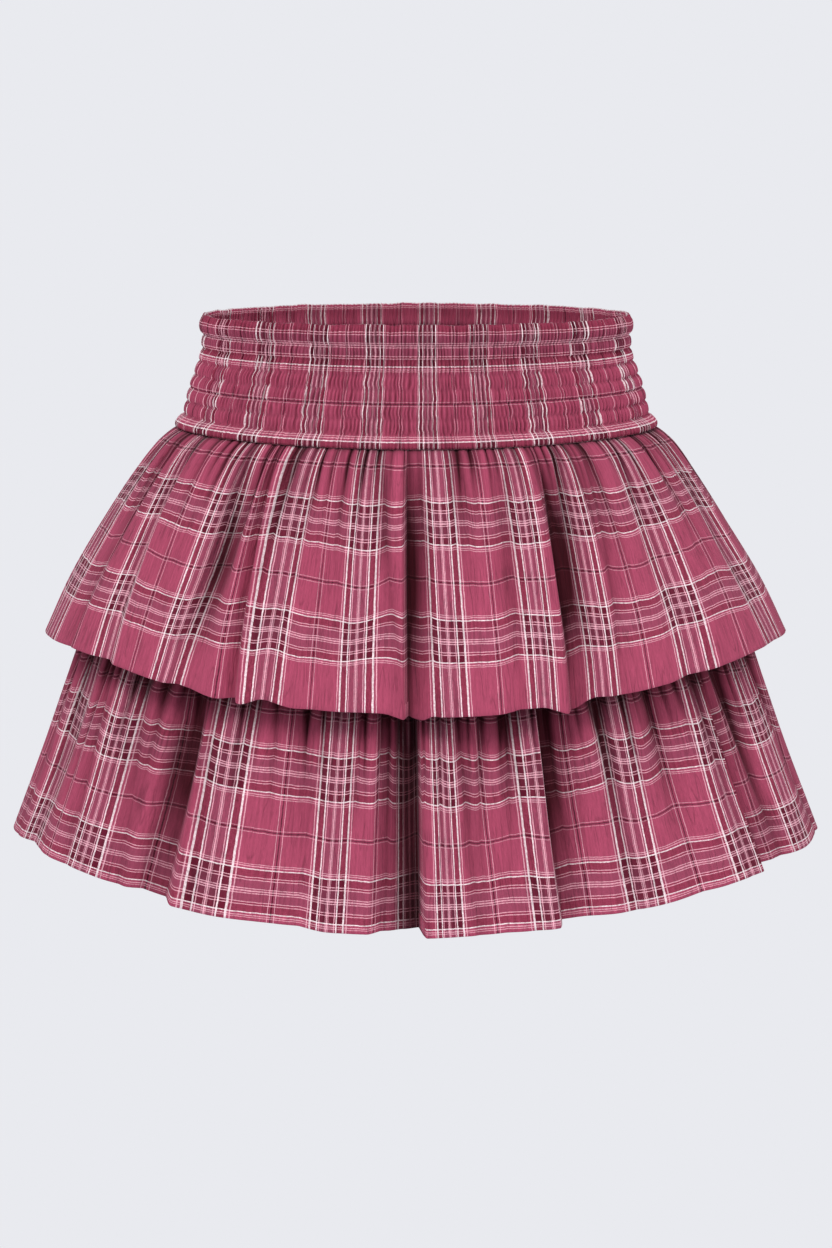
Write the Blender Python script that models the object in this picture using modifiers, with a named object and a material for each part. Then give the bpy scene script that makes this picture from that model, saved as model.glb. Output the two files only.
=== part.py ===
"""Two-tier ruffle skirt with a shirred elastic waistband, standing open as it is worn.

Metres, +Z up. The front faces -Y and +X is on a viewer's right. The origin is the centre of the
waist, halfway down the waistband. Run with: blender --background --python part.py
"""

import math

import bmesh
import bpy
from mathutils import Vector

MM = 0.001

# Driving dimensions, in millimetres. A drop is measured down from the top edge of the waistband.
WAIST_HEIGHT = 37.0  # height of that top edge above the origin
WAISTBAND_WALL = 2.4  # two layers of cloth, puffed by the shirring
TIER_WALL = 1.2
YOKE_WALL = 1.0
SEAM_GAP = 0.75  # between the halves at a side seam, measured on the outside
SEAM_DROP = 0.6  # between a panel and the one sewn under it
HEM_DIP = 1.9  # how sharply the front and back drops fade towards the sides

# Levels of the skirt: the drop and the half-size of the ring at the sides, front and back.
LEVELS = {
    # name: side drop, front drop, back drop, half-width, front depth, back depth
    "waist_edge": (0.0, 0.0, 0.0, 136.8, 99.0, 99.0),
    "waist_seam": (70.3, 74.5, 73.0, 154.4, 110.0, 112.0),
    "upper_hem": (203.5, 237.5, 233.0, 239.0, 161.0, 166.0),
    "yoke_seam": (186.0, 206.0, 204.5, 205.0, 119.5, 125.0),
    "lower_hem": (336.5, 366.5, 363.0, 262.0, 172.0, 182.0),
}

# How a panel swells on its way down: share of the drop, share of the flare, extra puff in mm.
WAISTBAND_RINGS = (
    # drop, flare, puff
    (0.00, 0.00, 0.0),
    (0.055, 0.01, 1.5),
    (0.13, 0.02, 0.0),
    (0.29, 0.05, 0.4),
    (0.44, 0.22, 0.4),
    (0.60, 0.45, 0.5),
    (0.77, 0.63, 0.0),
    (0.875, 0.68, 0.2),
    (0.94, 0.90, 1.2),
    (1.00, 1.00, -0.4),
)
UPPER_RINGS = (
    (0.00, 0.00, -0.2),
    (0.02, 0.00, -0.2),
    (0.09, 0.15, 0.0),
    (0.23, 0.31, 0.0),
    (0.48, 0.56, 0.0),
    (0.75, 0.81, 0.0),
    (1.00, 1.00, 0.0),
)
LOWER_RINGS = (
    (0.00, 0.00, -0.6),
    (0.02, 0.00, -0.6),
    (0.12, 0.17, 0.0),
    (0.32, 0.36, 0.0),
    (0.64, 0.65, 0.0),
    (1.00, 1.00, 0.0),
)
YOKE_RINGS = (
    (0.00, 0.00, -2.9),
    (0.03, 0.00, -2.9),
    (0.28, 0.20, -3.2),
    (0.60, 0.56, -1.0),
    (0.97, 1.00, -0.6),
    (1.00, 1.00, -0.6),
)

# Crests and troughs of the folds, walking round each half from one side seam to the other.
# Angles are in degrees from the half's middle, as they leave the seam and as they reach the hem.
# Offsets are in millimetres, outwards, halfway down and at the hem. Every fold starts flat.
UPPER_FRONT_FOLDS = (
    # seam, hem, middle offset, hem offset
    (-90.0, -90.0, 0.0, 0.0),
    (-86.0, -86.0, 0.0, 0.0),
    (-80.5, -81.0, -6.0, -7.0),
    (-75.0, -76.0, 2.0, 3.0),
    (-67.0, -68.0, -10.0, -12.0),
    (-58.0, -60.0, 3.0, 5.0),
    (-51.0, -53.0, -7.0, -8.0),
    (-45.0, -46.0, 4.0, 4.0),
    (-38.0, -39.0, -15.0, -7.0),
    (-33.0, -31.0, 4.0, 7.0),
    (-30.0, -29.0, -12.0, -13.0),
    (-17.0, -15.0, 0.0, -2.0),
    (-5.0, -3.0, 4.0, 7.0),
    (-2.0, -1.5, -17.0, -18.0),
    (5.0, 7.0, 1.0, 2.0),
    (16.0, 18.0, 5.0, 4.0),
    (19.5, 20.5, -9.0, -4.0),
    (23.0, 23.0, 4.0, 3.0),
    (27.0, 25.5, -16.0, -15.0),
    (32.0, 31.0, 2.0, 4.0),
    (40.0, 40.0, -5.0, -5.0),
    (47.5, 49.5, 5.0, 6.0),
    (51.5, 52.5, -12.0, -10.0),
    (59.0, 60.0, 3.0, 4.0),
    (66.0, 68.0, -9.0, -11.0),
    (74.0, 75.0, 3.0, 3.0),
    (80.5, 81.0, -6.0, -7.0),
    (86.0, 86.0, 0.0, 0.0),
    (90.0, 90.0, 0.0, 0.0),
)
UPPER_BACK_FOLDS = (
    (-90.0, -90.0, 0.0, 0.0),
    (-86.0, -86.0, 0.0, 0.0),
    (-80.0, -80.0, -7.0, -8.0),
    (-73.0, -74.0, 3.0, 4.0),
    (-66.0, -65.0, -12.0, -10.0),
    (-57.0, -56.0, 2.0, 4.0),
    (-49.0, -48.5, -9.0, -13.0),
    (-42.0, -40.0, 4.0, 5.0),
    (-33.0, -33.0, -13.0, -9.0),
    (-25.0, -24.0, 3.0, 4.0),
    (-17.0, -17.5, -12.0, -15.0),
    (-8.0, -8.0, 3.0, 5.0),
    (0.0, 1.0, -8.0, -6.0),
    (7.0, 8.0, 4.0, 4.0),
    (14.0, 15.0, -15.0, -14.0),
    (22.0, 23.0, 2.0, 5.0),
    (31.0, 30.0, -9.0, -7.0),
    (39.0, 39.0, 4.0, 4.0),
    (45.0, 47.0, -14.0, -13.0),
    (54.0, 55.0, 3.0, 4.0),
    (63.0, 62.0, -8.0, -11.0),
    (71.0, 71.0, 3.0, 4.0),
    (79.5, 79.5, -8.0, -7.0),
    (86.0, 86.0, 0.0, 0.0),
    (90.0, 90.0, 0.0, 0.0),
)
LOWER_FRONT_FOLDS = (
    (-90.0, -90.0, 0.0, 0.0),
    (-86.0, -86.0, 0.0, 0.0),
    (-81.0, -81.0, -6.0, -8.0),
    (-75.5, -75.0, 3.0, 4.0),
    (-69.0, -69.0, -7.0, -9.0),
    (-60.0, -58.0, 4.0, 6.0),
    (-51.0, -50.0, -2.0, 1.0),
    (-42.0, -42.0, -16.0, -15.0),
    (-33.0, -34.0, 4.0, 4.0),
    (-20.0, -20.0, -6.0, -5.0),
    (-11.0, -9.0, 4.0, 6.0),
    (-3.0, -1.5, -16.0, -21.0),
    (2.0, 2.5, 4.0, 9.0),
    (9.0, 11.0, -4.0, 5.0),
    (17.0, 20.0, 5.0, 10.0),
    (21.5, 22.0, -13.0, -12.0),
    (26.5, 27.0, 1.0, 0.0),
    (30.0, 29.5, -6.0, -6.0),
    (38.0, 38.0, 4.0, 5.0),
    (46.0, 46.0, -9.0, -5.0),
    (59.0, 60.0, 4.0, 7.0),
    (63.0, 63.5, -12.0, -13.0),
    (70.0, 71.0, 2.0, 3.0),
    (78.0, 79.0, -8.0, -9.0),
    (86.0, 86.0, 0.0, 0.0),
    (90.0, 90.0, 0.0, 0.0),
)
LOWER_BACK_FOLDS = (
    (-90.0, -90.0, 0.0, 0.0),
    (-86.0, -86.0, 0.0, 0.0),
    (-80.5, -80.5, -7.0, -8.0),
    (-75.0, -74.0, 3.0, 5.0),
    (-67.0, -66.0, -9.0, -13.0),
    (-58.0, -58.0, 4.0, 5.0),
    (-50.0, -51.0, -12.0, -10.0),
    (-41.0, -41.0, 3.0, 6.0),
    (-34.0, -32.0, -9.0, -14.0),
    (-25.0, -24.0, 4.0, 5.0),
    (-16.0, -16.0, -13.0, -10.0),
    (-7.0, -6.0, 3.0, 6.0),
    (2.0, 2.0, -10.0, -15.0),
    (10.0, 11.0, 4.0, 6.0),
    (19.0, 19.0, -12.0, -9.0),
    (28.0, 28.0, 3.0, 5.0),
    (36.0, 37.0, -9.0, -15.0),
    (45.0, 46.0, 4.0, 6.0),
    (54.0, 54.0, -12.0, -9.0),
    (62.0, 63.0, 3.0, 5.0),
    (71.0, 71.0, -8.0, -12.0),
    (79.0, 79.0, 2.0, 2.0),
    (86.0, 86.0, 0.0, 0.0),
    (90.0, 90.0, 0.0, 0.0),
)
PLAIN_FOLDS = ((-90.0, -90.0, 0.0, 0.0), (90.0, 90.0, 0.0, 0.0))

# Each panel hangs from its upper level to its lower one, in a front and a back half.
COLOURS = {
    "waistband": (0.40, 0.075, 0.155),
    "upper_tier": (0.42, 0.080, 0.165),
    "lower_tier": (0.38, 0.070, 0.145),
    "yoke": (0.34, 0.060, 0.125),
}
PANELS = {
    # name: top level, bottom level, rings, front folds, back folds, wall, columns in a half
    "waistband": (
        "waist_edge", "waist_seam", WAISTBAND_RINGS, PLAIN_FOLDS, PLAIN_FOLDS, WAISTBAND_WALL, 26,
    ),
    "yoke": ("waist_seam", "yoke_seam", YOKE_RINGS, PLAIN_FOLDS, PLAIN_FOLDS, YOKE_WALL, 28),
    "upper_tier": (
        "waist_seam", "upper_hem", UPPER_RINGS, UPPER_FRONT_FOLDS, UPPER_BACK_FOLDS, TIER_WALL, 58,
    ),
    "lower_tier": (
        "yoke_seam", "lower_hem", LOWER_RINGS, LOWER_FRONT_FOLDS, LOWER_BACK_FOLDS, TIER_WALL, 62,
    ),
}


def mix(a, b, share):
    return a + (b - a) * share


def fold_offset(share, middle, hem):
    """Offset of a fold at this share of the panel's length: 0 at the seam, then middle, then hem."""
    if share < 0.5:
        rise = share / 0.5
        return middle * rise * (2.0 - rise)
    swing = (share - 0.5) / 0.5
    return mix(middle, hem, swing * swing * (3.0 - 2.0 * swing))


def ring_levels(top, bottom, drop_share, flare_share):
    """Drops and half-sizes of the ring at this share of the way from one level to the other."""
    shares = (drop_share,) * 3 + (flare_share,) * 3
    return tuple(mix(a, b, share) for a, b, share in zip(LEVELS[top], LEVELS[bottom], shares))


def ring_point(ring, angle, offset, is_back):
    """Point of a ring, in metres. The angle is from the middle of the front or back half."""
    side_drop, front_drop, back_drop, half_width, front_depth, back_depth = ring
    depth = back_depth if is_back else front_depth
    middle_drop = back_drop if is_back else front_drop
    across, along = math.sin(angle), math.cos(angle)
    outward = Vector((across / half_width, along / depth)).normalized() * offset
    x = half_width * across + outward.x
    y = -(depth * along + outward.y)
    z = WAIST_HEIGHT - mix(side_drop, middle_drop, max(along, 0.0) ** HEM_DIP)
    point = Vector((x, y, z)) * MM
    return Vector((-point.x, -point.y, point.z)) if is_back else point


def fold_curve(folds, drop_share, along_share):
    """(angle in degrees, offset) at this share of the way round a half, smooth at every crest."""
    place = along_share * (len(folds) - 1)
    first = min(int(place), len(folds) - 2)
    step = place - first
    smooth = step * step * (3.0 - 2.0 * step)
    angles = [mix(row[0], row[1], drop_share) for row in folds[first : first + 2]]
    offsets = [fold_offset(drop_share, row[2], row[3]) for row in folds[first : first + 2]]
    return mix(angles[0], angles[1], step), mix(offsets[0], offsets[1], smooth)


def even_columns(folds, columns, ring, is_back):
    """Shares of the way round that cut the folded hem into equal lengths of cloth."""
    fine = 12 * columns
    shares = [i / fine for i in range(fine + 1)]
    points = []
    for share in shares:
        angle, offset = fold_curve(folds, 1.0, share)
        points.append(ring_point(ring, math.radians(angle), offset, is_back))
    reached = [0.0]
    for a, b in zip(points, points[1:]):
        reached.append(reached[-1] + (b - a).length)
    found, at = [], 0
    for column in range(columns + 1):
        wanted = reached[-1] * column / columns
        while at < fine - 1 and reached[at + 1] < wanted:
            at += 1
        step = (wanted - reached[at]) / (reached[at + 1] - reached[at])
        found.append(mix(shares[at], shares[at + 1], min(step, 1.0)))
    return found


def cloth_grid(name, top, bottom, rings, folds, columns, is_back):
    """The outer face of a half panel: a flat grid whose points are moved onto the folded rings."""
    mesh = bpy.data.meshes.new(name)
    grid = bmesh.new()
    bmesh.ops.create_grid(grid, x_segments=columns, y_segments=len(rings) - 1, size=0.5)
    hem_ring = ring_levels(top, bottom, 1.0, 1.0)
    column_shares = even_columns(folds, columns, hem_ring, is_back)
    for vertex in grid.verts:
        column = round((vertex.co.x + 0.5) * columns)
        row = round((0.5 - vertex.co.y) * (len(rings) - 1))
        drop_share, flare_share, puff = rings[row]
        ring = ring_levels(top, bottom, drop_share, flare_share)
        angle, offset = fold_curve(folds, drop_share, column_shares[column])
        side_trim = math.degrees(SEAM_GAP / 2.0 / ring[5 if is_back else 4])
        angle = max(-90.0 + side_trim, min(90.0 - side_trim, angle))
        vertex.co = ring_point(ring, math.radians(angle), offset + puff, is_back)
        if row == 0 and top != "waist_edge":
            vertex.co.z -= SEAM_DROP * MM
    bmesh.ops.recalc_face_normals(grid, faces=grid.faces)
    grid.to_mesh(mesh)
    grid.free()
    return mesh


def cloth_material(name, colour):
    material = bpy.data.materials.new(name)
    material.use_nodes = True
    shader = material.node_tree.nodes["Principled BSDF"]
    shader.inputs["Base Color"].default_value = (*colour, 1.0)
    shader.inputs["Roughness"].default_value = 0.85
    shader.inputs["Metallic"].default_value = 0.0
    return material


def add_panel(collection, name, mesh, wall, material):
    """A half panel as an object, with its wall grown inwards from the outer face."""
    panel = bpy.data.objects.new(name, mesh)
    collection.objects.link(panel)
    mesh.materials.append(material)
    mesh.shade_smooth()
    thickness = panel.modifiers.new("wall", "SOLIDIFY")
    thickness.thickness = wall * MM
    thickness.offset = -1.0
    thickness.use_even_offset = True
    return panel


def main():
    for old in list(bpy.data.objects):
        bpy.data.objects.remove(old)
    collection = bpy.data.collections.new("ruffle_skirt")
    bpy.context.scene.collection.children.link(collection)
    for kind, (top, bottom, rings, front_folds, back_folds, wall, columns) in PANELS.items():
        material = cloth_material(kind + "_cloth", COLOURS[kind])
        for half, folds in (("front", front_folds), ("back", back_folds)):
            name = f"{kind}_{half}"
            mesh = cloth_grid(name, top, bottom, rings, folds, columns, half == "back")
            add_panel(collection, name, mesh, wall, material)


main()
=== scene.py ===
# %% [markdown]
# # A two-tier ruffle skirt with a shirred waistband
#
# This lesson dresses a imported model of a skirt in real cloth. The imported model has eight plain
# walls: a waistband, a hidden yoke and two ruffles, each as a front and a back half. Every wall
# is replaced here by a thin piece of checked cotton that is cut flat, turned at its edges,
# gathered along a seam and hung in folds, in the order in which a maker would do it.

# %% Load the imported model
import math

import bpy
import numpy as np
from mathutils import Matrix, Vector


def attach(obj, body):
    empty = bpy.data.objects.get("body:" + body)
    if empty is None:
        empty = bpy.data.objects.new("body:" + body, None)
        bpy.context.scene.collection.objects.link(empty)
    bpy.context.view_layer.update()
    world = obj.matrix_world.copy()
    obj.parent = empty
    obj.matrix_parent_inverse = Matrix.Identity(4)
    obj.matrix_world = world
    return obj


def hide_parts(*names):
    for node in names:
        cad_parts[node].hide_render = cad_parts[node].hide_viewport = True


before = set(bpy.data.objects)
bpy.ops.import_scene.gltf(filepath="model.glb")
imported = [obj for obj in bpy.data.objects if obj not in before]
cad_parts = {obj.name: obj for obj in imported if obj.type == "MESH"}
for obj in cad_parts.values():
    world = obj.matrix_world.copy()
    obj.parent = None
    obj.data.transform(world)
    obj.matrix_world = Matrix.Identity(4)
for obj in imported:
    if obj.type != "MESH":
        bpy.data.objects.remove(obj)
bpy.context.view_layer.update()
MM = 0.001
print("packed walls:", sorted(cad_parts))

# %% [markdown]
# ## The sizes that drive everything
#
# Each level of the skirt is an oval ring: it has a drop below the top edge of the waistband, a
# half-width, and a depth to the front and to the back. A skirt hangs lower at its middle front
# than at its sides, so each level has three drops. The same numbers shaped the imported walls, so
# the cloth lands where they are.

# %% Levels of the skirt
WAIST_HEIGHT = 37.0
HEM_DIP = 1.9
LEVELS = {
    # name: side drop, front drop, back drop, half-width, front depth, back depth (mm)
    "waist_edge": (0.0, 0.0, 0.0, 136.8, 99.0, 99.0),
    "waist_seam": (70.3, 74.5, 73.0, 154.4, 110.0, 112.0),
    "upper_hem": (203.5, 237.5, 233.0, 239.0, 161.0, 166.0),
    "yoke_seam": (186.0, 206.0, 204.5, 205.0, 119.5, 125.0),
    "lower_hem": (336.5, 366.5, 363.0, 262.0, 172.0, 182.0),
}
HALVES = ("front", "back")
COTTON = 0.5  # thickness of the cloth
print("the skirt hangs", LEVELS["lower_hem"][1], "mm below its top edge")

# %% [markdown]
# ## Folds, placed one by one
#
# A ruffle's big folds are what the eye reads first, so they aren't left to chance. Each table
# walks round one half of a ruffle, from side seam to side seam, one row for each place where the
# cloth turns. The two angles say where the fold leaves the seam and where it meets the hem, so a
# fold can lean. The two offsets say how far it stands out or sinks in halfway down and at the hem.
# Rows far apart make broad flat stretches. A trough is a few rows close together: a steep side, a
# narrow floor, and a side that rises gently. No two are alike, as gathered cotton hangs.
#
# The last table says how far the front's hems rise above their level rings, because the folds lift
# a worn hem here and let it drop there.

# %% Fold tables
UPPER_FRONT_FOLDS = (
    # seam angle, hem angle, middle offset, hem offset
    (-90.0, -90.0, 0.0, 0.0),
    (-86.0, -86.0, 0.0, 0.0),
    (-79.0, -78.0, 1.0, 1.0),
    (-73.0, -69.0, 0.0, 1.5),
    (-65.0, -59.0, 2.0, 3.5),
    (-61.0, -53.5, -5.0, -1.0),
    (-58.0, -51.0, 3.0, 4.5),
    (-48.0, -45.5, 4.0, 4.0),
    (-41.0, -41.0, 3.0, 3.0),
    (-38.5, -38.6, -12.0, -3.0),
    (-36.0, -36.0, -10.0, -2.0),
    (-34.0, -31.0, 2.0, 4.0),
    (-32.6, -28.2, -8.0, -6.0),
    (-31.2, -26.7, 4.0, 6.0),
    (-23.0, -22.0, 4.0, 4.0),
    (-17.5, -15.5, -3.0, -1.0),
    (-10.0, -8.5, 4.0, 3.0),
    (-2.9, -2.0, 5.0, 5.0),
    (-1.9, -1.1, -15.0, -11.0),
    (-0.8, -0.1, -13.0, -8.0),
    (3.6, 4.6, 1.5, 2.0),
    (12.0, 11.5, 3.0, 3.0),
    (17.0, 15.5, -5.0, 0.0),
    (21.0, 18.5, 4.0, 4.0),
    (26.3, 22.4, 3.0, 4.0),
    (28.3, 24.0, -15.0, -8.0),
    (31.0, 25.8, -13.0, -6.0),
    (36.0, 31.0, 2.0, 3.5),
    (44.0, 40.0, 4.0, 4.0),
    (50.5, 45.0, -4.0, -1.0),
    (56.0, 51.0, 3.0, 3.5),
    (67.0, 65.0, 0.0, 2.0),
    (73.0, 73.0, -3.0, 0.0),
    (79.0, 79.0, 1.0, 1.0),
    (86.0, 86.0, 0.0, 0.0),
    (90.0, 90.0, 0.0, 0.0),
)
UPPER_BACK_FOLDS = (
    (-90.0, -90.0, 0.0, 0.0),
    (-86.0, -86.0, 0.0, 0.0),
    (-80.0, -80.0, -7.0, -8.0),
    (-73.0, -74.0, 3.0, 4.0),
    (-66.0, -65.0, -12.0, -10.0),
    (-57.0, -56.0, 2.0, 4.0),
    (-49.0, -48.5, -9.0, -13.0),
    (-42.0, -40.0, 4.0, 5.0),
    (-33.0, -33.0, -13.0, -9.0),
    (-25.0, -24.0, 3.0, 4.0),
    (-17.0, -17.5, -12.0, -15.0),
    (-8.0, -8.0, 3.0, 5.0),
    (0.0, 1.0, -8.0, -6.0),
    (7.0, 8.0, 4.0, 4.0),
    (14.0, 15.0, -15.0, -14.0),
    (22.0, 23.0, 2.0, 5.0),
    (31.0, 30.0, -9.0, -7.0),
    (39.0, 39.0, 4.0, 4.0),
    (45.0, 47.0, -14.0, -13.0),
    (54.0, 55.0, 3.0, 4.0),
    (63.0, 62.0, -8.0, -11.0),
    (71.0, 71.0, 3.0, 4.0),
    (79.5, 79.5, -8.0, -7.0),
    (86.0, 86.0, 0.0, 0.0),
    (90.0, 90.0, 0.0, 0.0),
)
LOWER_FRONT_FOLDS = (
    (-90.0, -90.0, 0.0, 0.0),
    (-86.0, -86.0, 0.0, 0.0),
    (-78.0, -77.0, 0.0, 1.0),
    (-71.0, -70.5, -5.0, -4.0),
    (-62.0, -61.0, 3.0, 4.0),
    (-50.0, -49.0, 2.0, 2.0),
    (-44.0, -44.5, 1.0, 0.0),
    (-41.0, -41.5, -12.0, -8.0),
    (-37.5, -37.2, -13.0, -8.0),
    (-35.3, -34.6, 2.0, 5.0),
    (-29.0, -29.0, 5.0, 6.0),
    (-20.0, -19.5, -1.0, 1.0),
    (-17.0, -16.0, -5.0, -1.0),
    (-12.0, -12.0, 4.0, 5.0),
    (-7.0, -6.7, 2.0, 3.0),
    (-5.0, -4.8, -5.0, -5.0),
    (-2.5, -2.0, -12.0, -11.0),
    (-0.2, 0.4, -16.0, -15.0),
    (0.9, 1.5, 5.0, 8.0),
    (6.0, 7.0, 5.0, 6.0),
    (10.5, 12.0, -3.0, 3.0),
    (15.0, 16.0, 3.0, 5.0),
    (19.2, 19.4, 5.0, 7.0),
    (20.3, 20.4, -12.0, -8.0),
    (23.5, 23.5, -7.0, -4.0),
    (29.0, 29.5, 2.0, 2.0),
    (36.0, 36.0, 3.0, 3.0),
    (42.0, 43.0, -5.0, 0.0),
    (47.5, 48.0, 1.0, 3.0),
    (54.3, 55.2, 3.0, 5.0),
    (55.8, 56.6, -10.0, -9.0),
    (61.0, 61.5, -3.0, -4.0),
    (70.0, 71.0, 2.0, 2.0),
    (79.0, 79.0, 0.0, 0.0),
    (86.0, 86.0, 0.0, 0.0),
    (90.0, 90.0, 0.0, 0.0),
)
LOWER_BACK_FOLDS = (
    (-90.0, -90.0, 0.0, 0.0),
    (-86.0, -86.0, 0.0, 0.0),
    (-80.5, -80.5, -7.0, -8.0),
    (-75.0, -74.0, 3.0, 5.0),
    (-67.0, -66.0, -9.0, -13.0),
    (-58.0, -58.0, 4.0, 5.0),
    (-50.0, -51.0, -12.0, -10.0),
    (-41.0, -41.0, 3.0, 6.0),
    (-34.0, -32.0, -9.0, -14.0),
    (-25.0, -24.0, 4.0, 5.0),
    (-16.0, -16.0, -13.0, -10.0),
    (-7.0, -6.0, 3.0, 6.0),
    (2.0, 2.0, -10.0, -15.0),
    (10.0, 11.0, 4.0, 6.0),
    (19.0, 19.0, -12.0, -9.0),
    (28.0, 28.0, 3.0, 5.0),
    (36.0, 37.0, -9.0, -15.0),
    (45.0, 46.0, 4.0, 6.0),
    (54.0, 54.0, -12.0, -9.0),
    (62.0, 63.0, 3.0, 5.0),
    (71.0, 71.0, -8.0, -12.0),
    (79.0, 79.0, 2.0, 2.0),
    (86.0, 86.0, 0.0, 0.0),
    (90.0, 90.0, 0.0, 0.0),
)
HEM_LIFTS = {
    # hem angle, how far the worn hem of the front rises above its level ring (mm)
    "upper_tier": (
        (-90.0, 0.0),
        (-75.0, 3.5),
        (-55.0, 8.0),
        (-38.0, 6.0),
        (-26.5, 4.5),
        (-22.9, 9.0),
        (-18.0, 5.5),
        (-5.1, 8.0),
        (0.8, 1.5),
        (2.8, 5.0),
        (12.0, 5.0),
        (18.3, 7.0),
        (24.0, -0.5),
        (28.0, 6.0),
        (35.0, 5.5),
        (60.0, 6.0),
        (78.0, 3.0),
        (90.0, 0.0),
    ),
    "lower_tier": (
        (-90.0, 3.0),
        (-75.0, 6.5),
        (-60.0, 8.0),
        (-48.0, 6.5),
        (-35.0, 3.0),
        (-20.0, 2.0),
        (0.0, 0.0),
        (18.0, 0.5),
        (24.0, 3.0),
        (45.0, 3.5),
        (60.0, 5.5),
        (75.0, 4.5),
        (90.0, 2.0),
    ),
}
PLAIN_FOLDS = ((-90.0, -90.0, 0.0, 0.0), (90.0, 90.0, 0.0, 0.0))
FOLD_STRENGTH = 0.85  # soft cotton rounds the folds off a little
print("folds in the upper front:", len(UPPER_FRONT_FOLDS))

# %% [markdown]
# ## The camera
#
# The camera comes before the cloth, so that every later step can be looked at. A long lens from
# two and a half metres keeps the ovals of the waist and hems gentle. It stands a little above the
# waist and looks slightly down, which opens the waist and shows the inside of the back.

# %% Set up the camera
CAMERA_DISTANCE = 2.441
CAMERA_HEIGHT = 0.215
CAMERA_PITCH = 0.1539
LENS = 109.4

bpy.ops.object.select_all(action="DESELECT")
bpy.ops.object.camera_add(
    location=(0.0, -CAMERA_DISTANCE, CAMERA_HEIGHT),
    rotation=(math.pi / 2 - CAMERA_PITCH, 0.0, 0.0),
)
camera = bpy.context.object
camera.data.lens = LENS
camera.data.sensor_width = 36.0
bpy.context.scene.camera = camera
print("camera lens:", round(camera.data.lens, 1), "mm")

# %% [markdown]
# ## Smooth tables and uneven lines
#
# Cloth needs two helpers. One reads a short table as a smooth curve. The other is a line that
# wanders between -1 and 1: gathers whose spacing follows such a line look sewn, while evenly
# spaced ones look machined. Its knots come from a seeded generator, so every run is the same.


# %% Helpers for smooth and uneven lines
def mix(a, b, share):
    return a + (b - a) * share


def ease(step):
    return step * step * (3.0 - 2.0 * step)


def smooth_table(places, values, wanted):
    """Reads a table as a smooth curve that never overshoots its rows."""
    places, values = np.asarray(places, float), np.asarray(values, float)
    steps = np.diff(values) / np.diff(places)
    slopes = np.zeros(len(values))
    both = steps[:-1] * steps[1:] > 0
    slopes[1:-1][both] = 2.0 / (1.0 / steps[:-1][both] + 1.0 / steps[1:][both])
    slopes[0], slopes[-1] = steps[0], steps[-1]
    row = np.clip(np.searchsorted(places, wanted, side="right") - 1, 0, len(places) - 2)
    span = places[row + 1] - places[row]
    t = np.clip((wanted - places[row]) / span, 0.0, 1.0)
    start = (2 * t**3 - 3 * t**2 + 1) * values[row] + (t**3 - 2 * t**2 + t) * span * slopes[row]
    end = (3 * t**2 - 2 * t**3) * values[row + 1] + (t**3 - t**2) * span * slopes[row + 1]
    return start + end


def chance(number, seed):
    """An even chance from 0 to 1 for each whole number."""
    return np.random.default_rng(seed).random(2048)[np.asarray(number).astype(int) % 2048]


def wander(place, seed):
    """A smooth line from -1 to 1 that turns about once in each unit of place."""
    low = np.floor(place)
    step = ease(place - low)
    return 2.0 * mix(chance(low, seed), chance(low + 1, seed), step) - 1.0


print("a wandering line:", [round(float(wander(np.array(x * 0.5), 3)), 2) for x in range(5)])

# %% [markdown]
# ## Wrapping a flat cut round the skirt
#
# Each piece starts as a flat grid, the cut. Its points are then moved to the skirt's rings: the
# place across the cut becomes an angle round the oval, and the place down the cut becomes a drop.
# The fold tables push points out or in along the oval's normal. The columns of the grid are spread
# so that each holds the same length of the folded hem. That is why the check stays even at the hem
# and closes up at the seam, exactly as gathered cloth does.


# %% Rings, folds and even columns
def ring_at(top, bottom, drop_share, flare_share):
    """The six sizes of the ring at these shares of the way from one level to the other."""
    a, b = LEVELS[top], LEVELS[bottom]
    return [mix(a[i], b[i], drop_share if i < 3 else flare_share) for i in range(6)]


def ring_points(ring, angle, offset, half, sink=0.0):
    """Points of a ring in millimetres, pushed out by offset and down by sink."""
    side_drop, front_drop, back_drop, half_width, front_depth, back_depth = ring
    depth = back_depth if half == "back" else front_depth
    middle_drop = back_drop if half == "back" else front_drop
    across, along = np.sin(angle), np.cos(angle)
    normal_x, normal_y = across / half_width, along / depth
    size = np.hypot(normal_x, normal_y)
    x = half_width * across + normal_x / size * offset
    y = -(depth * along + normal_y / size * offset)
    dip = np.maximum(along, 0.0) ** HEM_DIP
    z = WAIST_HEIGHT - mix(side_drop, middle_drop, dip) - sink
    turn = -1.0 if half == "back" else 1.0
    return np.stack([x * turn, y * turn, z], axis=-1)


def length_along(points):
    """How far along a line of points each one lies."""
    return np.concatenate([[0.0], np.cumsum(np.linalg.norm(np.diff(points, axis=0), axis=1))])


def fold_curve(folds, down, along):
    """Angle and offset of the big folds: broad round crests, narrow troughs."""
    table = np.array(folds)
    place = along * (len(table) - 1)
    first = np.clip(place.astype(int), 0, len(table) - 2)
    step = place - first
    here, there = table[first], table[first + 1]
    swing = ease(np.clip((down - 0.5) / 0.5, 0.0, 1.0))
    rise = np.clip(down / 0.5, 0.0, 1.0)
    grown = rise * (2.0 - rise)
    offsets = [
        FOLD_STRENGTH * mix(row[..., 2] * grown, row[..., 3], swing) for row in (here, there)
    ]
    falling = offsets[1] < offsets[0]
    narrow = np.where(falling, step**2, 1.0 - (1.0 - step) ** 2)
    bend = mix(ease(step), narrow, 0.45)
    angles = [mix(row[..., 0], row[..., 1], down) for row in (here, there)]
    return mix(angles[0], angles[1], step), mix(offsets[0], offsets[1], bend)


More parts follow.
